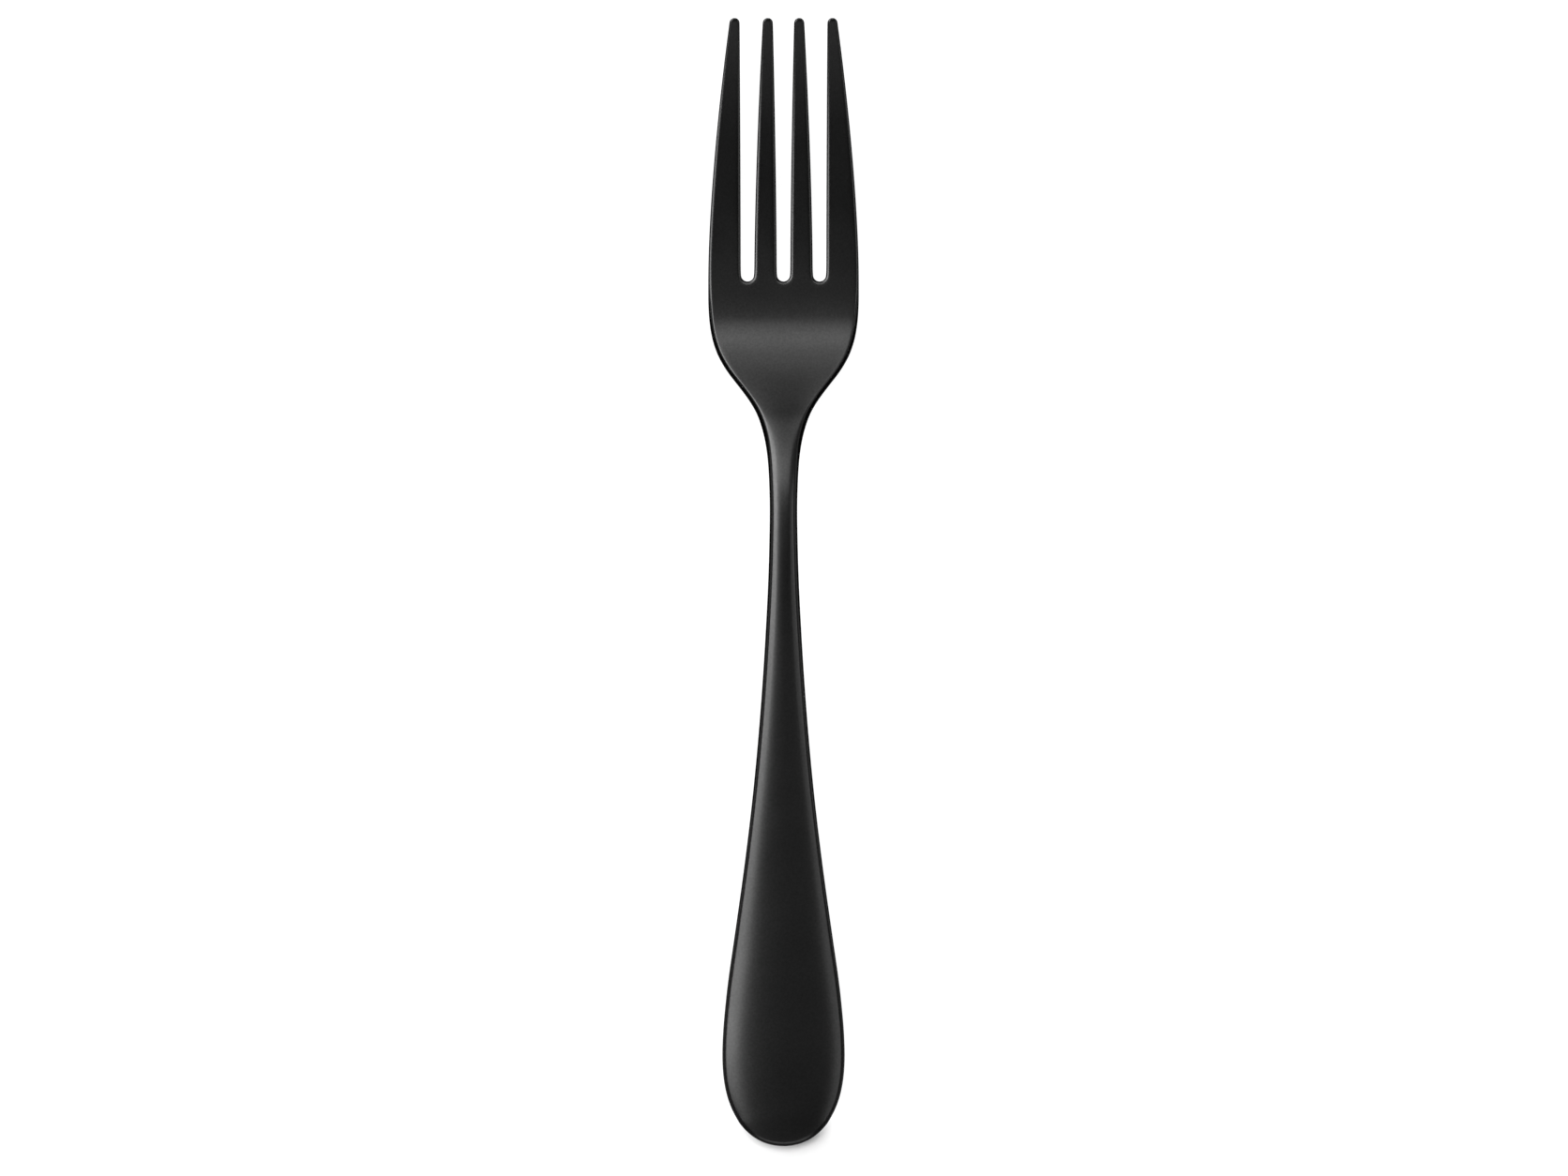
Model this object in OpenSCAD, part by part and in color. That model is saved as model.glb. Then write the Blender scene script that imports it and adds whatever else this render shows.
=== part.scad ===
// Four-tined dinner fork, lying face up on a table.
// +Y points from the handle to the tips of the tines, +X to the right, +Z out of its face.
// The origin is the middle of its length and width, at table height.
// The fork is one steel forging. Its zones are separate closed solids that meet at flat sections.

/* [Lengths] */
// Length of the tines, from their tips to the bottom of the slots
tine_length = 47.8; // [38:0.1:58]
// Length of the head behind the slots, down to where its shoulders have run into the neck
head_length = 25; // [20:0.1:32]
// Length of the slim neck
neck_length = 26.2; // [18:0.1:36]
// Length of the handle
handle_length = 106; // [80:0.5:140]

/* [Widths] */
// Width of the head at the bottom of the slots, where it is widest
head_width = 27.4; // [25:0.1:32]
// Width of the neck at its narrowest
neck_width = 5; // [4:0.1:7]
// Width of the handle at its widest, near its end
handle_width = 22.3; // [16:0.1:28]
// Width of each slot at its bottom
slot_width = 2.45; // [1.8:0.05:2.8]
// Width of each inner tine at its root
inner_tine_width = 4.1; // [3.4:0.1:4.6]
// Width of each tine behind its rounded tip
tine_tip_width = 1.9; // [1.4:0.1:2.4]
// Distance between the tips of the two outer tines, from middle to middle
outer_tip_spread = 17.8; // [16:0.1:21]
// Distance between the tips of the two inner tines, from middle to middle
inner_tip_spread = 5.7; // [5:0.1:6.6]

/* [Thicknesses] */
// Thickness of the tines at their tips
tip_thickness = 1.3; // [1:0.05:1.8]
// Thickness of the head at the roots of the tines
head_thickness = 2; // [1.6:0.05:2.8]
// Thickness of the neck
neck_thickness = 3.7; // [3:0.05:5]
// Thickness of the handle at its widest
handle_thickness = 3.4; // [2.4:0.05:4.5]
// Reach of the rounded edges of the head and the tines, in from their outline
edge_reach = 0.9; // [0.5:0.05:1.2]
// Reach of the rounding at the end of the handle, along its length
end_reach = 1.2; // [0.6:0.1:4]

/* [Side view] */
// Height of the underside of the tips over the table
tip_rise = 10; // [6:0.1:15]
// Height of the underside of the neck over the table, at its highest
neck_rise = 10.8; // [6:0.1:15]

/* [Hidden] */
steel_black = "#2b2c2e";

// Roundness of the edges and of the end of the handle, along and across: 2 is an ellipse, more is fuller
edge_fullness = 2.3;
end_fullness_along = 2.5;
end_fullness_across = 2.1;
// Roundness of the crown across the handle: 2 is an ellipse, less is nearer to a roof
crown_fullness = 1.8;
// How late the tines narrow: 1 is a straight taper, 2 a parabola
tine_taper = 1.6;

// Counts of faces: round an edge from below to above, and from there to the middle of the body
edge_steps = 12;
face_steps = 5;
// Counts of rows along the length
tine_steps = 14;
root_steps = 6;
tip_steps = 6;
head_steps = 18;
neck_steps = 14;
handle_steps = 26;
end_steps = 12;
// The last row of a rounded end stops this many degrees round, and a flat closes it
tip_last_angle = 82;
end_last_angle = 87;

// Places along the length, from the end of the handle to the tips
fork_length = handle_length + neck_length + head_length + tine_length;
end_y = -fork_length / 2;
neck_y = end_y + handle_length;
head_y = neck_y + neck_length;
root_y = head_y + head_length;
tip_y = fork_length / 2;

// The slots end in half circles, and a web behind them carries their rounded rim
slot_radius = slot_width / 2;
root_web = 2 * edge_reach;
web_y = root_y - root_web;
root_circle_y = root_y + slot_radius;

// Middles of the slots and tines at the root
side_slot_x = slot_width + inner_tine_width;
inner_root_x = side_slot_x / 2;
outer_tine_width = head_width / 2 - side_slot_x - slot_radius;
outer_root_x = side_slot_x + slot_radius + outer_tine_width / 2;

// The outline of the body from the end of the handle to the slots, as shares.
// Each pair is a place along its zone, rising towards the tines, and a share of the zone's widening.
widest_share = 0.163;
handle_shares = [
  [0.26, 0.911], [0.356, 0.748], [0.485, 0.528], [0.614, 0.342], [0.742, 0.201],
  [0.871, 0.0946], [1, 0.0207]
];
waist_share = 0.38;
neck_shares = [[0.675, 0.0229], [0.805, 0.0558], [0.935, 0.12]];
shoulder_shares = [
  [0.068, 0.243], [0.205, 0.449], [0.341, 0.687], [0.478, 0.86], [0.614, 0.95],
  [0.751, 0.989], [0.874, 1]
];

// The underside seen from the side, as shares of the neck's height over the table
heel_share = 0.06;
heel_lift_share = 0.02;
handle_arch_shares = [[0.2, 0.11], [0.4, 0.365], [0.6, 0.64], [0.8, 0.875], [0.9, 0.955], [1, 1]];
neck_arch_shares = [[0.3, 0.982], [0.52, 0.924], [0.714, 0.822], [0.844, 0.725]];
head_arch_shares = [[0, 0.598], [0.109, 0.492], [0.45, 0.193], [0.62, 0.069], [0.757, 0.014], [0.9, 0]];

// The face of the handle and neck is crowned, by shares of the thickness above their edges.
// The head is flat across from where the crown starts.
handle_crown_shares = [[0.292, 1], [0.42, 0.8], [0.549, 0.64], [0.678, 0.56], [0.839, 0.5]];
neck_crown_shares = [[0, 0.45], [0.26, 0.43], [0.52, 0.42], [0.84, 0.41]];
crown_start_share = 0.4;
// Share of the thickness below the line where the body is widest
handle_line_share = 0.3;
shoulder_line_share = 0.25;
plate_line_share = 0.5;
// How the wall above that line stands: 1 is an oval, less is fuller, more is a leaning wall
// under a corner, which the shoulders have from their start on the neck
neck_wall_share = 0.7;
oval_wall = 0.5;
shoulder_wall = 6;
plate_wall = 0.45;
// Most of a half width that the rounding of its edge may take
round_limit_share = 0.85;
// Where the plate of the head begins to thicken towards the neck
plate_share = 0.6;

// A smooth curve through points whose first numbers rise, level at the first, which never swings past them
function grade(p, i) = (p[i + 1][1] - p[i][1]) / (p[i + 1][0] - p[i][0]);
function shared_grade(a, b) = a * b <= 0 ? 0 : 2 * a * b / (a + b);
function lean(p, i) =
  i == 0 ? 0
  : i == len(p) - 1 ? grade(p, i - 1)
  : shared_grade(grade(p, i - 1), grade(p, i));
function span_at(p, at, i = 0) = i >= len(p) - 2 || at <= p[i + 1][0] ? i : span_at(p, at, i + 1);
function between(p, i, at) =
  let (
    run = p[i + 1][0] - p[i][0],
    s = (at - p[i][0]) / run,
    rest = 1 - s
  )
  rest * rest * (1 + 2 * s) * p[i][1] + s * s * (3 - 2 * s) * p[i + 1][1]
  + run * s * rest * (rest * lean(p, i) - s * lean(p, i + 1));
function curve(p, at) = between(p, span_at(p, at), at);

// Rounding: how far in and how far up an edge has gone at an angle round it
function inset_share(angle) = 1 - pow(abs(cos(angle)), 2 / edge_fullness);
function rise_share(angle) = sign(angle) * pow(abs(sin(angle)), 2 / edge_fullness);
function closing_share(t) = pow(max(0, 1 - pow(t, end_fullness_along)), 1 / end_fullness_across);

// Zones placed along the length
function along_handle(share) = end_y + share * handle_length;
function along_neck(share) = neck_y + share * neck_length;
function along_head(share) = head_y + share * head_length;

widest_y = along_handle(widest_share);
end_cap = widest_y - end_y;
neck_half = neck_width / 2;
handle_growth = handle_width / 2 - neck_half;
head_growth = head_width / 2 - neck_half;

outline = concat(
  [[widest_y, handle_width / 2]],
  [for (s = handle_shares) [along_handle(s[0]), neck_half + handle_growth * s[1]]],
  [[along_neck(waist_share), neck_half]],
  [for (s = neck_shares) [along_neck(s[0]), neck_half + head_growth * s[1]]],
  [for (s = shoulder_shares) [along_head(s[0]), neck_half + head_growth * s[1]]],
  [[root_y, head_width / 2]]
);

arch = concat(
  [[end_y, neck_rise * heel_lift_share], [along_handle(heel_share), 0]],
  [for (s = handle_arch_shares) [along_handle(s[0]), neck_rise * s[1]]],
  [for (s = neck_arch_shares) [along_neck(s[0]), neck_rise * s[1]]],
  [for (s = head_arch_shares) [along_head(s[0]), neck_rise * s[1]]],
  [[root_y, 0]]
);

gauge = [
  [end_y, handle_thickness],
  [widest_y, handle_thickness],
  [along_neck(waist_share), neck_thickness],
  [along_head(plate_share), head_thickness],
  [root_y, head_thickness],
  [tip_y, tip_thickness]
];

edge_line = [
  [end_y, handle_line_share],
  [neck_y, handle_line_share],
  [head_y, shoulder_line_share],
  [along_head(crown_start_share), shoulder_line_share],
  [root_y, plate_line_share],
  [tip_y, plate_line_share]
];

crown = concat(
  [[end_y, 1], [widest_y, 1]],
  [for (s = handle_crown_shares) [along_handle(s[0]), s[1]]],
  [for (s = neck_crown_shares) [along_neck(s[0]), s[1]]],
  [[along_head(crown_start_share), 0], [tip_y, 0]]
);

wall = [
  [end_y, oval_wall],
  [along_neck(neck_wall_share), oval_wall],
  [head_y, shoulder_wall],
  [along_head(crown_start_share), shoulder_wall],
  [root_y, plate_wall],
  [tip_y, plate_wall]
];

// Half of the body's width, behind the tines
function half_width(y) =
  y < widest_y ? handle_width / 2 * closing_share((widest_y - y) / end_cap) : curve(outline, y);

// Height of the underside, which the tines carry on in an even upward curve
function underside(y) = y > root_y ? tip_rise * pow((y - root_y) / tine_length, 2) : curve(arch, y);

// How far a rounded edge reaches in, limited by half the width of what it goes round
function reach_in(half) = min(edge_reach, round_limit_share * half);

// Where a point lies between the middle of the body, 0, and its outline, 1
function outward_share(x, y) =
  y < widest_y
    ? pow(
        pow(2 * abs(x) / handle_width, end_fullness_across)
        + pow((widest_y - y) / end_cap, end_fullness_along),
        1 / end_fullness_across
      )
    : abs(x) / half_width(y);

// What the crown leaves of the height above the edge
function crown_share(x, y) =
  let (
    share = curve(crown, y),
    dome = share > 0 ? pow(1 - pow(min(1, outward_share(x, y)), crown_fullness), 1 / crown_fullness) : 0
  )
  1 - share * (1 - dome);

// How much of an edge's rise is left as the end of the handle rounds off
function end_closing(y) = closing_share(max(0, 1 - (y - end_y) / end_reach));

// Height of a point on the surface, at an angle round the edge from -90, below, to 90, above
function surface_height(x, y, angle) =
  let (
    line = curve(edge_line, y),
    level = end_closing(y) * rise_share(angle),
    rise = angle > 0 ? (1 - line) * pow(level, curve(wall, y)) * crown_share(x, y) : line * level
  )
  underside(y) + curve(gauge, y) * (line + rise);

edge_angles = [for (i = [0 : edge_steps]) -90 + 180 * i / edge_steps];

// A ring goes up the left edge and down the right one
function ring(left, right) = concat(left, [for (i = [len(right) - 1 : -1 : 0]) right[i]]);

// Half of the body's section: round its edge, and on to the middle of its face
function body_edge(side, y, shape_y) =
  let (
    half = half_width(shape_y),
    reach = reach_in(half),
    face = half - reach,
    edge_points = [for (a = edge_angles) [half - reach * inset_share(a), a]],
    face_points = [for (i = [face_steps - 1 : -1 : 0]) [face * (i + 1 / 2) / (face_steps + 1 / 2), 90]]
  )
  [for (p = concat(edge_points, face_points)) [side * p[0], y, surface_height(p[0], shape_y, p[1])]];
function body_ring(y, shape_y) = ring(body_edge(-1, y, shape_y), body_edge(1, y, shape_y));

// Closed solid through a row of rings, each with the same count of points
module loft(rings) {
  count = len(rings[0]);
  last = len(rings) - 1;
  points = [for (r = rings) each r];
  walls = [
    for (i = [0 : last - 1], j = [0 : count - 1])
      let (a = i * count + j, b = i * count + (j + 1) % count)
        each [[a, b, b + count], [a, b + count, a + count]]
  ];
  // An end is closed by strips between its edges, and by fans from the last strip to its face
  fan = edge_steps - 1;
  top = count / 2 - 1;
  strips = [
    for (j = [0 : fan - 1])
      let (a = j, b = count - 1 - j)
        each [[a, b, b - 1], [a, b - 1, a + 1]]
  ];
  fans = top > edge_steps
    ? [
        for (j = [edge_steps : top - 1])
          let (a = j, b = count - 1 - j)
            each [[fan, a + 1, a], [count - 1 - fan, b, b - 1]]
      ]
    : [];
  middle = [[fan, count - 1 - fan, count - 1 - top], [fan, count - 1 - top, top]];
  near_end = concat(strips, fans, middle);
  far_end = [for (f = near_end) [last * count + f[0], last * count + f[2], last * count + f[1]]];
  polyhedron(points = points, faces = concat(walls, near_end, far_end), convexity = 8);
}

// A tine is its middle and half width at the root, its middle at the tip,
// and whether it has a slot on its left and on its right
inner_tine = [inner_root_x, inner_tine_width / 2, inner_tip_spread / 2];
outer_tine = [outer_root_x, outer_tine_width / 2, outer_tip_spread / 2];
tip_half = tine_tip_width / 2;
tip_circle_y = tip_y - tip_half;

// Inset of a tine's edge
function tine_inset(half, angle) = reach_in(half) * inset_share(angle);

function at_height(x, y, angle) = [x, y, surface_height(x, y, angle)];

// The rounded bottom of a slot, at an angle from its side to its deepest point.
// The outer side of an outer tine has no slot and stays straight there.
function root_edge(tine, side, slotted, turn) = [
  for (a = edge_angles)
    let (
      inset = tine_inset(tine[1], a),
      wall_x = tine[0] + side * tine[1],
      round = slot_radius + inset
    )
    slotted
      ? at_height(wall_x + side * (slot_radius - round * cos(turn)), root_circle_y - round * sin(turn), a)
      : at_height(wall_x - side * inset, root_circle_y - slot_radius * sin(turn), a)
];

// Behind the slot the web meets its neighbour on the slot's middle line
function web_edge(tine, side, slotted) = [
  for (a = edge_angles)
    let (
      wall_x = tine[0] + side * tine[1],
      shift = slotted ? slot_radius : -tine_inset(tine[1], a)
    )
    at_height(wall_x + side * shift, web_y, a)
];

function tine_edge(tine, side, share) =
  let (
    narrowing = pow(share, tine_taper),
    middle = tine[0] + (tine[2] - tine[0]) * narrowing,
    half = tine[1] + (tip_half - tine[1]) * narrowing,
    y = root_circle_y + (tip_circle_y - root_circle_y) * share
  )
  [for (a = edge_angles) at_height(middle + side * (half - tine_inset(half, a)), y, a)];

function tip_edge(tine, side, turn) = [
  for (a = edge_angles)
    let (round = tip_half - tine_inset(tip_half, a))
      at_height(
        tine[2] + side * round * cos(turn),
        tip_circle_y + round * sin(turn) / sin(tip_last_angle),
        a
      )
];

// One tine, drawn on the right of the middle. Its inner side always has a slot.
module tine(shape, outer_slotted) {
  root_turns = [for (i = [0 : root_steps - 1]) 90 * (1 - i / root_steps)];
  tip_turns = [for (i = [1 : tip_steps]) tip_last_angle * i / tip_steps];
  rings = concat(
    [ring(web_edge(shape, -1, true), web_edge(shape, 1, outer_slotted))],
    [for (t = root_turns) ring(root_edge(shape, -1, true, t), root_edge(shape, 1, outer_slotted, t))],
    [
      for (i = [0 : tine_steps])
        ring(tine_edge(shape, -1, i / tine_steps), tine_edge(shape, 1, i / tine_steps))
    ],
    [for (t = tip_turns) ring(tip_edge(shape, -1, t), tip_edge(shape, 1, t))]
  );
  loft(rings);
}

module tine_outer_left() {
  color(steel_black)
    mirror([1, 0, 0])
      tine(outer_tine, false);
}

module tine_inner_left() {
  color(steel_black)
    mirror([1, 0, 0])
      tine(inner_tine, true);
}

module tine_inner_right() {
  color(steel_black)
    tine(inner_tine, true);
}

module tine_outer_right() {
  color(steel_black)
    tine(outer_tine, false);
}

// Straight run of body rings between two places
module body_run(from_y, to_y, steps) {
  loft([for (i = [0 : steps]) let (y = from_y + (to_y - from_y) * i / steps) body_ring(y, y)]);
}

module head() {
  color(steel_black)
    body_run(head_y, web_y, head_steps);
}

module neck() {
  color(steel_black)
    body_run(neck_y, head_y, neck_steps);
}

module handle() {
  turns = [for (i = [0 : end_steps - 1]) end_last_angle * (1 - i / end_steps)];
  rounded_end = [
    for (t = turns)
      body_ring(widest_y - end_cap * sin(t) / sin(end_last_angle), widest_y - end_cap * sin(t))
  ];
  shaft = [
    for (i = [0 : handle_steps])
      let (y = widest_y + (neck_y - widest_y) * i / handle_steps)
        body_ring(y, y)
  ];
  color(steel_black)
    loft(concat(rounded_end, shaft));
}

tine_outer_left();
tine_inner_left();
tine_inner_right();
tine_outer_right();
head();
neck();
handle();
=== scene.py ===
import math

import bpy
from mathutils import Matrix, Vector


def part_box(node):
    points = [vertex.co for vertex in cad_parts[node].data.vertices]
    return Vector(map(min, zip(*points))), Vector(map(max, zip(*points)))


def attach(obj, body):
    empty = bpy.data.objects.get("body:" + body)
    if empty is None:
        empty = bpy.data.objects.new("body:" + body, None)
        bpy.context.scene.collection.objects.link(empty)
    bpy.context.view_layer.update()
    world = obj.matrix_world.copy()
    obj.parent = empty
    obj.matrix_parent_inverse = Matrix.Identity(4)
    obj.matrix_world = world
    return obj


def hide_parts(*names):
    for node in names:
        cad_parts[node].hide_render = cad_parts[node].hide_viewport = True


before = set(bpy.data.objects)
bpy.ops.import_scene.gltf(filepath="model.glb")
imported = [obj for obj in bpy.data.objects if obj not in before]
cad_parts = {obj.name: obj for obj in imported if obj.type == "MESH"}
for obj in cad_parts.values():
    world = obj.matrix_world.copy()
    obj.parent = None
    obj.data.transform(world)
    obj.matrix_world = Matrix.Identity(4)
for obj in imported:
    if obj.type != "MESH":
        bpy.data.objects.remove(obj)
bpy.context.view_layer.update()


# The fork is one piece of stainless steel, blanked from plate and forged in a die: the handle
# comes out crowned, the neck arched and nearly round, the head flat across. The slots are cut,
# the tines are bent up in an even curve, and every edge is tumbled round.
MM = 0.001
end_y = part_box("handle")[0].y
neck_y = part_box("neck")[0].y
head_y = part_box("head")[0].y
web_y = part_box("head")[1].y
tip_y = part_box("tine_inner_right")[1].y
handle_length = neck_y - end_y
neck_length = head_y - neck_y
edge_reach = 0.9 * MM
root_y = web_y + 2 * edge_reach
head_length = root_y - head_y
tine_length = tip_y - root_y

handle_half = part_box("handle")[1].x
head_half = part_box("head")[1].x
neck_half = 2.5 * MM
slot_radius = 1.225 * MM
inner_tine_half = 2.05 * MM
tip_half = 0.95 * MM
outer_tip_x = 8.9 * MM
inner_tip_x = 2.85 * MM
slot_x = 2 * slot_radius + 2 * inner_tine_half
inner_wall_x = slot_x - slot_radius
outer_wall_x = slot_x + slot_radius
root_circle_y = root_y + slot_radius

tip_thickness = 1.3 * MM
head_thickness = 2.0 * MM
neck_thickness = 3.7 * MM
handle_thickness = 3.4 * MM
tip_rise = 10.0 * MM
neck_rise = 10.8 * MM

# The outline, as shares of each zone's length and of how far it widens
widest_share = 0.163
handle_shares = [
    (0.26, 0.911), (0.356, 0.748), (0.485, 0.528), (0.614, 0.342), (0.742, 0.201),
    (0.871, 0.0946), (1.0, 0.0207),
]
waist_share = 0.38
neck_shares = [(0.675, 0.0229), (0.805, 0.0558), (0.935, 0.12)]
shoulder_shares = [
    (0.068, 0.243), (0.205, 0.449), (0.341, 0.687), (0.478, 0.86), (0.614, 0.95),
    (0.751, 0.989), (0.874, 1.0),
]

# The underside in side view, as shares of the neck's height over the table
heel_share = 0.06
heel_lift_share = 0.02
handle_arch_shares = [(0.2, 0.11), (0.4, 0.365), (0.6, 0.64), (0.8, 0.875), (0.9, 0.955), (1.0, 1.0)]
neck_arch_shares = [(0.3, 0.982), (0.52, 0.924), (0.714, 0.822), (0.844, 0.725)]
head_arch_shares = [(0.0, 0.598), (0.109, 0.492), (0.45, 0.193), (0.62, 0.069), (0.757, 0.014), (0.9, 0.0)]

tine_taper = 1.6
edge_fullness = 2.3
end_fullness_along = 2.5
end_fullness_across = 2.1
handle_line_share = 0.3
shoulder_line_share = 0.25
plate_line_share = 0.5
plate_share = 0.6

# The crown across the face, as the share of the thickness above the edge that it takes
crown_fullness = 1.8
handle_crown_shares = [(0.292, 1.0), (0.42, 0.8), (0.549, 0.64), (0.678, 0.56), (0.839, 0.5)]
neck_crown_shares = [(0.0, 0.45), (0.26, 0.43), (0.52, 0.42), (0.84, 0.41)]
crown_start_share = 0.4

# How the wall under the upper edge stands: 1 is an oval, less is fuller, more leans it in to a corner
neck_wall_share = 0.7
oval_wall = 0.5
shoulder_wall = 6.0
plate_wall = 0.45


def along(zone_y, zone_length, share):
    return zone_y + zone_length * share


widest_y = along(end_y, handle_length, widest_share)
end_cap = widest_y - end_y
handle_growth = handle_half - neck_half
head_growth = head_half - neck_half
outline = (
    [(widest_y, handle_half)]
    + [(along(end_y, handle_length, s), neck_half + handle_growth * w) for s, w in handle_shares]
    + [(along(neck_y, neck_length, waist_share), neck_half)]
    + [(along(neck_y, neck_length, s), neck_half + head_growth * w) for s, w in neck_shares]
    + [(along(head_y, head_length, s), neck_half + head_growth * w) for s, w in shoulder_shares]
    + [(root_y, head_half)]
)
arch = (
    [(end_y, neck_rise * heel_lift_share), (along(end_y, handle_length, heel_share), 0.0)]
    + [(along(end_y, handle_length, s), neck_rise * z) for s, z in handle_arch_shares]
    + [(along(neck_y, neck_length, s), neck_rise * z) for s, z in neck_arch_shares]
    + [(along(head_y, head_length, s), neck_rise * z) for s, z in head_arch_shares]
    + [(root_y, 0.0)]
)
crown_start_y = along(head_y, head_length, crown_start_share)
gauge = [
    (end_y, handle_thickness),
    (widest_y, handle_thickness),
    (along(neck_y, neck_length, waist_share), neck_thickness),
    (along(head_y, head_length, plate_share), head_thickness),
    (root_y, head_thickness),
    (tip_y, tip_thickness),
]
edge_line = [
    (end_y, handle_line_share),
    (neck_y, handle_line_share),
    (head_y, shoulder_line_share),
    (crown_start_y, shoulder_line_share),
    (root_y, plate_line_share),
    (tip_y, plate_line_share),
]
crown = (
    [(end_y, 1.0), (widest_y, 1.0)]
    + [(along(end_y, handle_length, s), c) for s, c in handle_crown_shares]
    + [(along(neck_y, neck_length, s), c) for s, c in neck_crown_shares]
    + [(crown_start_y, 0.0), (tip_y, 0.0)]
)
wall = [
    (end_y, oval_wall),
    (along(neck_y, neck_length, neck_wall_share), oval_wall),
    (head_y, shoulder_wall),
    (crown_start_y, shoulder_wall),
    (root_y, plate_wall),
    (tip_y, plate_wall),
]


def curve_at(points, at):
    """Height of a smooth curve through points, level at its first, that never swings past them."""
    def grade(i):
        return (points[i + 1][1] - points[i][1]) / (points[i + 1][0] - points[i][0])

    def lean(i):
        if i == 0:
            return 0.0
        if i == len(points) - 1:
            return grade(i - 1)
        before, after = grade(i - 1), grade(i)
        return 0.0 if before * after <= 0 else 2 * before * after / (before + after)

    i = 0
    while i < len(points) - 2 and at > points[i + 1][0]:
        i += 1
    run = points[i + 1][0] - points[i][0]
    s = (at - points[i][0]) / run
    rest = 1 - s
    return (
        rest * rest * (1 + 2 * s) * points[i][1]
        + s * s * (3 - 2 * s) * points[i + 1][1]
        + run * s * rest * (rest * lean(i) - s * lean(i + 1))
    )


def closing_share(t):
    return max(0.0, 1 - min(t, 1.0) ** end_fullness_along) ** (1 / end_fullness_across)


def half_width(y):
    if y < widest_y:
        return handle_half * closing_share((widest_y - y) / end_cap)
    return curve_at(outline, y)


def underside(y):
    if y > root_y:
        return tip_rise * ((y - root_y) / tine_length) ** 2
    return curve_at(arch, y)


def crown_height(x, y):
    """How much of the thickness is left at a place across the crowned handle and neck."""
    if y < widest_y:
        out = abs(x) / handle_half
        past = (widest_y - y) / end_cap
        round_share = (out ** end_fullness_across + past ** end_fullness_along) ** (1 / end_fullness_across)
    else:
        round_share = abs(x) / half_width(y)
    dome = (1 - min(round_share, 1.0) ** crown_fullness) ** (1 / crown_fullness)
    return 1 + (dome - 1) * curve_at(crown, y)


# The blank starts as a flat grid of the right half, with the columns that the slots need.
# Columns are spread evenly in the handle, and gather round the slots in the head.
arc_steps = 6
columns = arc_steps // 2 + 1 + arc_steps + 1
end_rows = 6
handle_rows = 23
neck_rows = 9
head_rows = 14
rows = 1 + end_rows + handle_rows + neck_rows + head_rows + 1
rim_margin = 1.5 * MM
narrow_half = 3 * MM
narrow_share = 0.5
last_end_share = 0.75
end_corner_step = 0.5


def arc_columns():
    """Places across the web, and the points on the bottoms of the slots ahead of them."""
    places = []
    for i in range(arc_steps // 2 + 1):
        turn = math.pi * i / arc_steps
        places.append((slot_radius * math.sin(turn), root_circle_y - slot_radius * math.cos(turn)))
    for i in range(arc_steps + 1):
        turn = math.pi * i / arc_steps
        places.append((slot_x - slot_radius * math.cos(turn), root_circle_y - slot_radius * math.sin(turn)))
    places.append((head_half, root_circle_y))
    return places


slot_points = arc_columns()
web_spans = [slot_radius * i / (arc_steps // 2) for i in range(arc_steps // 2 + 1)]
web_spans += [inner_wall_x + 2 * slot_radius * i / arc_steps for i in range(arc_steps + 1)]


def row_place(row):
    """Distance along the fork of one row of the blank."""
    if row <= 1 + end_rows:
        return widest_y - end_cap * last_end_share * (1 + end_rows - row) / end_rows
    row -= 1 + end_rows
    if row <= handle_rows:
        return widest_y + (neck_y - widest_y) * row / handle_rows
    row -= handle_rows
    if row <= neck_rows:
        return neck_y + neck_length * row / neck_rows
    row -= neck_rows
    return head_y + (web_y - head_y) * row / head_rows


def blank_place(column, row):
    """Where a corner of the blank lies, counted from the middle and from the end of the handle."""
    if row == 0:
        first_turn = math.asin(last_end_share)
        turn = math.pi / 2 - (math.pi / 2 - first_turn) * column / (columns + end_corner_step)
        return handle_half * closing_share(math.sin(turn)), widest_y - end_cap * math.sin(turn)
    if row == rows:
        return slot_points[column]
    y = row_place(row)
    half = half_width(y)
    if column == columns:
        return half, y
    inner = half - rim_margin if half > narrow_half else half * narrow_share
    even = inner * column / (columns - 1)
    gather = max(0.0, min(1.0, (y - head_y) / (web_y - head_y)))
    gather = gather * gather * (3 - 2 * gather)
    return even + (web_spans[column] - even) * gather, y


bpy.ops.object.select_all(action="DESELECT")
bpy.ops.mesh.primitive_grid_add(x_subdivisions=columns, y_subdivisions=rows, size=2)
fork = bpy.context.object
fork.name = "fork"
for corner in fork.data.vertices:
    column = round((corner.co.x + 1) / 2 * columns)
    row = round((corner.co.y + 1) / 2 * rows)
    corner.co.x, corner.co.y = blank_place(column, row)


def select_vertices(piece, wanted):
    """Leave edit mode, select the vertices that pass a test, and go back in."""
    bpy.ops.object.mode_set(mode="EDIT")
    bpy.ops.mesh.select_mode(type="VERT")
    bpy.ops.mesh.select_all(action="DESELECT")
    bpy.ops.object.mode_set(mode="OBJECT")
    for corner in piece.data.vertices:
        corner.select = wanted(corner.co)
    bpy.ops.object.mode_set(mode="EDIT")


# Each tine is drawn out of the web row by row, narrowing late, and closed in a half circle.
tine_steps = 14
tip_turns = [15, 30, 45, 60, 75]
hair = 0.001 * MM


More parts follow.
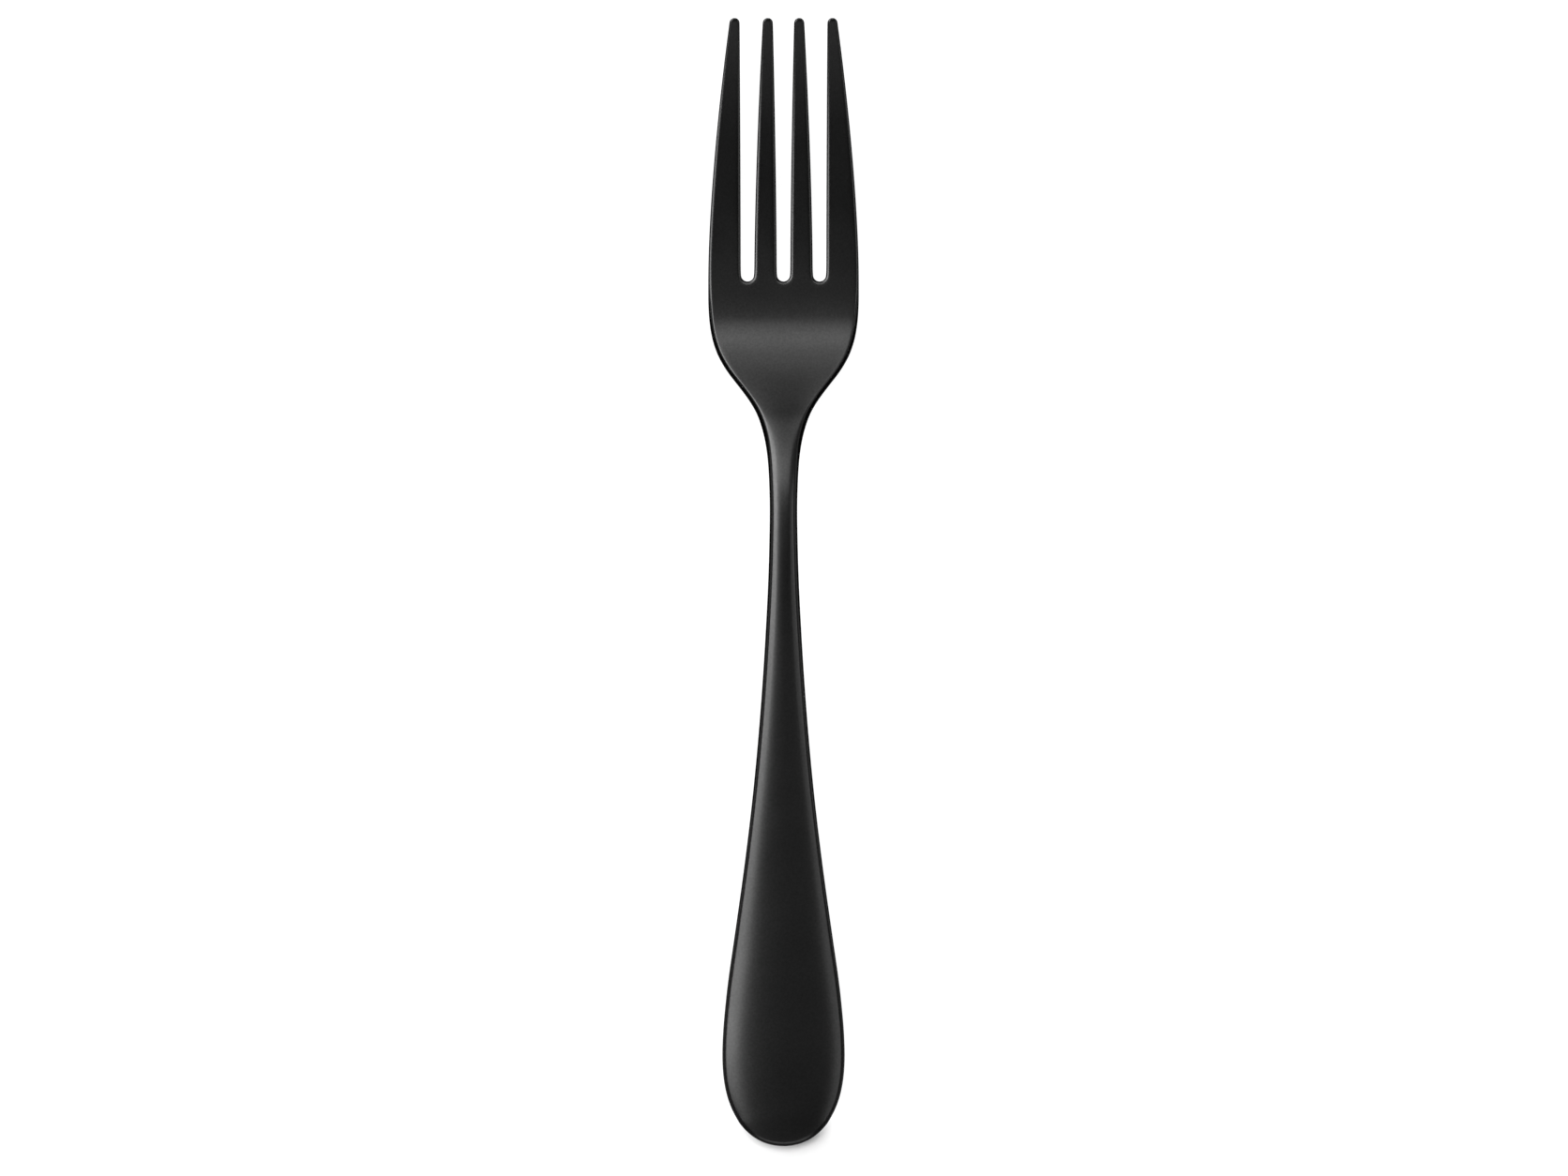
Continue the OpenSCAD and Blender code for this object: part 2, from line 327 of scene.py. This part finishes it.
def tine_rows(root_x, root_half, tip_x):
    """Distance, middle and half width of each row of a tine ahead of its root."""
    tip_circle_y = tip_y - tip_half
    found = []
    for i in range(tine_steps + 1):
        share = i / tine_steps
        narrowing = share ** tine_taper
        y = root_circle_y + (tip_circle_y - root_circle_y) * share
        middle = root_x + (tip_x - root_x) * narrowing
        half = root_half + (tip_half - root_half) * narrowing
        found.append((y, middle, half))
    for degrees in tip_turns:
        turn = math.radians(degrees)
        reach = math.sin(turn) / math.sin(math.radians(tip_turns[-1]))
        found.append((tip_circle_y + tip_half * reach, tip_x, tip_half * math.cos(turn)))
    return found


for low_x, high_x, tip_x in (
    (slot_radius, inner_wall_x, inner_tip_x),
    (outer_wall_x, head_half, outer_tip_x),
):
    select_vertices(
        fork,
        lambda co: co.y > root_circle_y - hair and low_x - hair < co.x < high_x + hair,
    )
    shape = tine_rows((low_x + high_x) / 2, (high_x - low_x) / 2, tip_x)
    for (y, middle, half), (next_y, next_middle, next_half) in zip(shape, shape[1:]):
        bpy.ops.mesh.extrude_region_move(
            TRANSFORM_OT_translate={"value": (next_middle - middle, next_y - y, 0)}
        )
        bpy.ops.transform.resize(
            value=(next_half / half, 1, 1), center_override=(next_middle, next_y, 0)
        )
    bpy.ops.object.mode_set(mode="OBJECT")


def apply_modifier(piece, kind, **settings):
    bpy.context.view_layer.objects.active = piece
    modifier = piece.modifiers.new(kind.title(), kind)
    for name, value in settings.items():
        setattr(modifier, name, value)
    bpy.ops.object.modifier_apply(modifier=modifier.name)


def inset_at(degrees):
    return 1 - math.cos(math.radians(degrees)) ** (2 / edge_fullness)


def rise_at(degrees):
    return math.sin(math.radians(degrees)) ** (2 / edge_fullness)


# The left half is the right one mirrored. The edge is then rolled over all round, slots and tips
# too, in steps of an oval, and the underside is the face mirrored.
apply_modifier(
    fork, "MIRROR", use_axis=(True, False, False), use_clip=True, merge_threshold=hair
)
edge_turns = [0, 12, 26, 42, 60, 78, 90]
face_height = 1 * MM
rim_reach = 0.85 * MM
bpy.ops.object.mode_set(mode="EDIT")
bpy.ops.mesh.select_mode(type="FACE")
bpy.ops.mesh.select_all(action="SELECT")
bpy.ops.mesh.normals_make_consistent(inside=False)
bpy.ops.object.mode_set(mode="OBJECT")
if fork.data.polygons[0].normal.z < 0:
    bpy.ops.object.mode_set(mode="EDIT")
    bpy.ops.mesh.flip_normals()
    bpy.ops.object.mode_set(mode="OBJECT")
bpy.ops.object.mode_set(mode="EDIT")
for turn, next_turn in zip(edge_turns, edge_turns[1:]):
    bpy.ops.mesh.inset(
        thickness=rim_reach * (inset_at(next_turn) - inset_at(turn)),
        depth=face_height * (rise_at(next_turn) - rise_at(turn)),
        use_even_offset=True,
        use_boundary=True,
    )
bpy.ops.object.mode_set(mode="OBJECT")
apply_modifier(
    fork, "MIRROR", use_axis=(False, False, True), use_clip=True, merge_threshold=hair
)

# Forging: every point takes its height from the side view, the thickness and the crown. The
# rounded edges, which tumbling leaves smoother than the faces, are marked for the finish.
smooth_edge = fork.data.attributes.new("smooth_edge", "FLOAT", "POINT")
edge_limit = 0.99
for corner in fork.data.vertices:
    x, y, z = corner.co
    level = z / face_height
    smooth_edge.data[corner.index].value = 1.0 if abs(level) < edge_limit else 0.0
    thick = curve_at(gauge, y)
    line = curve_at(edge_line, y)
    if level > 0:
        rise = (1 - line) * level ** curve_at(wall, y) * crown_height(x, y)
    else:
        rise = line * level
    corner.co.z = underside(y) + thick * (line + rise)

apply_modifier(fork, "SUBSURF", levels=2, render_levels=2)
bpy.ops.object.select_all(action="DESELECT")
fork.select_set(True)
bpy.context.view_layer.objects.active = fork
bpy.ops.object.shade_smooth()


def linear(hex_colour):
    """Linear colour of an sRGB hex value."""
    channels = [int(hex_colour[i:i + 2], 16) / 255 for i in (1, 3, 5)]
    curved = [c / 12.92 if c <= 0.04045 else ((c + 0.055) / 1.055) ** 2.4 for c in channels]
    return (*curved, 1.0)


def add_node(tree, kind, links=None, **settings):
    """Add one shader node with its settings, and link sockets into it."""
    node = tree.nodes.new(kind)
    for name, value in settings.items():
        if name in node.inputs:
            node.inputs[name].default_value = value
        else:
            setattr(node, name, value)
    for socket, source in (links or {}).items():
        tree.links.new(source, node.inputs[socket])
    return node


# Black vapour-deposited coating over bead-blasted stainless steel: a hard dark film that
# follows the fine matt grain of the metal under it, so that highlights are soft and grey.
# The tumbled edges catch a crisper line of light, and handling leaves the faces uneven.
coating = bpy.data.materials.new("black_coated_blasted_steel")
coating.use_nodes = True
tree = coating.node_tree
shader = tree.nodes["Principled BSDF"]
shader.inputs["Metallic"].default_value = 1.0
shader.inputs["Specular Tint"].default_value = linear("#282828")
surface = add_node(tree, "ShaderNodeTexCoord")

# The beads leave dimples under 0.1 mm wide, which are drawn four times as wide to show.
dimple_width = 0.4 * MM
dimple_depth = 0.0015 * MM
grain = add_node(
    tree, "ShaderNodeTexNoise", Scale=1 / dimple_width, Detail=2.0,
    links={"Vector": surface.outputs["Object"]},
)
dimples = add_node(
    tree, "ShaderNodeBump", Strength=1.0, Distance=dimple_depth,
    links={"Height": grain.outputs["Fac"]},
)
tree.links.new(dimples.outputs["Normal"], shader.inputs["Normal"])

# The film is lighter or darker by a shade from dimple to dimple.
film = add_node(tree, "ShaderNodeValToRGB", links={"Fac": grain.outputs["Fac"]})
film_dark, film_light = film.color_ramp.elements
film_dark.position = 0.3
film_dark.color = linear("#303030")
film_light.position = 0.7
film_light.color = linear("#363636")
tree.links.new(film.outputs["Color"], shader.inputs["Base Color"])

# Fingers and cloths polish the faces in soft patches a centimetre wide.
patch_width = 9 * MM
patches = add_node(
    tree, "ShaderNodeTexNoise", Scale=1 / patch_width, Detail=3.0,
    links={"Vector": surface.outputs["Object"]},
)
face_roughness = add_node(
    tree, "ShaderNodeMapRange",
    **{"From Min": 0.3, "From Max": 0.7, "To Min": 0.28, "To Max": 0.31},
    links={"Value": patches.outputs["Fac"]},
)
edge_mark = add_node(tree, "ShaderNodeAttribute", attribute_name="smooth_edge")
edge_polish = 0.03
roughness = add_node(
    tree, "ShaderNodeMath", operation="MULTIPLY_ADD",
    links={0: edge_mark.outputs["Fac"], 2: face_roughness.outputs["Result"]},
)
roughness.inputs[1].default_value = -edge_polish
tree.links.new(roughness.outputs["Value"], shader.inputs["Roughness"])
fork.data.materials.clear()
fork.data.materials.append(coating)

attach(fork, "root")
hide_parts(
    "handle", "neck", "head",
    "tine_outer_left", "tine_inner_left", "tine_inner_right", "tine_outer_right",
)


# Floor: a light table of white acrylic. Its panel glows under the fork, which keeps the shadows
# there faint, but for a dark patch past the handle, whose end so lies in its own soft shadow.
# Past the lamps' reach the glow takes over, so that the table runs into the white behind it.
floor_size = 3.0
bpy.ops.object.select_all(action="DESELECT")
bpy.ops.mesh.primitive_plane_add(size=floor_size, location=(0, 0, 0))
floor = bpy.context.object
floor.name = "floor"
acrylic = bpy.data.materials.new("white_acrylic_light_table")
acrylic.use_nodes = True
tree = acrylic.node_tree
table = tree.nodes["Principled BSDF"]
table.inputs["Roughness"].default_value = 0.8
table.inputs["Specular IOR Level"].default_value = 0.0
panel_glow = 0.95
patch_glow = 0.1
patch_radius = 40 * MM
patch_fade = 2.5 * MM
patch_edge_y = end_y + 3.6 * MM
lit_radius = 0.3
far_radius = 0.8
place = add_node(tree, "ShaderNodeTexCoord")
from_patch = add_node(
    tree, "ShaderNodeVectorMath", operation="DISTANCE", links={0: place.outputs["Object"]}
)
from_patch.inputs[1].default_value = (0, patch_edge_y - patch_radius, 0)
panel_share = add_node(
    tree, "ShaderNodeMapRange", interpolation_type="SMOOTHSTEP",
    **{"From Min": patch_radius - patch_fade, "From Max": patch_radius + patch_fade},
    links={"Value": from_patch.outputs["Value"]},
)
table_white = add_node(
    tree, "ShaderNodeValToRGB", links={"Fac": panel_share.outputs["Result"]}
)
over_patch, over_panel = table_white.color_ramp.elements
over_patch.color = linear("#C4C4C4")
over_panel.color = linear("#666666")
tree.links.new(table_white.outputs["Color"], table.inputs["Base Color"])
table_glow = add_node(
    tree, "ShaderNodeMapRange", **{"To Min": patch_glow, "To Max": panel_glow},
    links={"Value": panel_share.outputs["Result"]},
)
distance = add_node(
    tree, "ShaderNodeVectorMath", operation="LENGTH", links={0: place.outputs["Object"]}
)
far_share = add_node(
    tree, "ShaderNodeMapRange", interpolation_type="SMOOTHSTEP",
    **{"From Min": lit_radius, "From Max": far_radius},
    links={"Value": distance.outputs["Value"]},
)
glow = add_node(tree, "ShaderNodeEmission", links={"Strength": table_glow.outputs["Result"]})
lit = add_node(
    tree, "ShaderNodeAddShader",
    links={0: table.outputs["BSDF"], 1: glow.outputs["Emission"]},
)
far = add_node(tree, "ShaderNodeEmission", Strength=1.0)
blend = add_node(
    tree, "ShaderNodeMixShader",
    links={0: far_share.outputs["Result"], 1: lit.outputs["Shader"], 2: far.outputs["Emission"]},
)
tree.links.new(blend.outputs["Shader"], tree.nodes["Material Output"].inputs["Surface"])
floor.data.materials.append(acrylic)


# Soft boxes: a large one and a smaller at the left, which draw the long highlights, one ahead of
# the tips for the bright band on the head, a low one there for the roots of the slots, and weak
# ones at the right, behind and overhead that lift the darks. Each glows the same all over, so
# that its power follows its size.
for name, place, facing, width, height, glow in (
    ("left_box", (-0.77, 0.7, 0.8), (0.77, 0, -0.8), 1.2, 0.64, 10.0),
    ("left_rear_box", (-0.77, -0.15, 0.8), (0.77, 0, -0.8), 0.5, 0.64, 7.0),
    ("front_box", (0, 0.72, 1.09), (0, -0.72, -1.09), 1.1, 0.5, 3.5),
    ("low_front_box", (0, 1.2, 0.34), (0, -1.1, -0.34), 1.2, 0.24, 2.6),
    ("right_box", (1.0, -0.08, 0.83), (-1.0, 0.08, -0.83), 1.2, 0.6, 1.8),
    ("rear_box", (0, -1.0, 0.58), (0, 1.0, -0.58), 1.2, 0.42, 1.7),
    ("tips_box", (0, -1.0, 1.2), (0, 1.1, -1.2), 1.5, 0.46, 0.33),
    ("handle_box", (0, -0.085, 0.2), (0, 0, -1), 0.26, 0.12, 0.23),
    ("top_box", (0, 0.23, 1.2), (0, -0.23, -1.2), 0.9, 0.38, 0.38),
):
    bpy.ops.object.light_add(type="AREA", location=place)
    lamp = bpy.context.object
    lamp.name = name
    lamp.data.shape = "RECTANGLE"
    lamp.data.size = width
    lamp.data.size_y = height
    lamp.data.energy = math.pi * width * height * glow
    lamp.visible_camera = False
    lamp.rotation_euler = Vector(facing).to_track_quat("-Z", "Y").to_euler()

# The room over the table is dim, and below the horizon the white of the table goes on.
world = bpy.data.worlds.new("studio")
bpy.context.scene.world = world
world.use_nodes = True
tree = world.node_tree
sky = tree.nodes["Background"]
room_glow = 0.09
horizon_white = 1.0
horizon_share = 0.03
direction = add_node(tree, "ShaderNodeTexCoord")
upward = add_node(tree, "ShaderNodeSeparateXYZ", links={0: direction.outputs["Generated"]})
strength = add_node(
    tree, "ShaderNodeMapRange",
    **{"From Min": 0.0, "From Max": horizon_share, "To Min": horizon_white, "To Max": room_glow},
    links={"Value": upward.outputs["Z"]},
)
tree.links.new(strength.outputs["Result"], sky.inputs["Strength"])
sky.inputs["Color"].default_value = (1, 1, 1, 1)

# The camera looks straight down through a long lens.
camera_height = 6.0
frame_width = 285.2 * MM
look_x = 0.09 * MM
look_y = -1.0 * MM
sensor_width = 36
sight_length = 20
bpy.ops.object.camera_add(location=(look_x, look_y, camera_height), rotation=(0, 0, 0))
camera = bpy.context.object
camera.name = "camera"
camera.data.sensor_width = sensor_width
camera.data.lens = sensor_width * camera_height / frame_width
camera.data.clip_end = sight_length
bpy.context.scene.camera = camera
bpy.context.scene.view_settings.view_transform = "Standard"
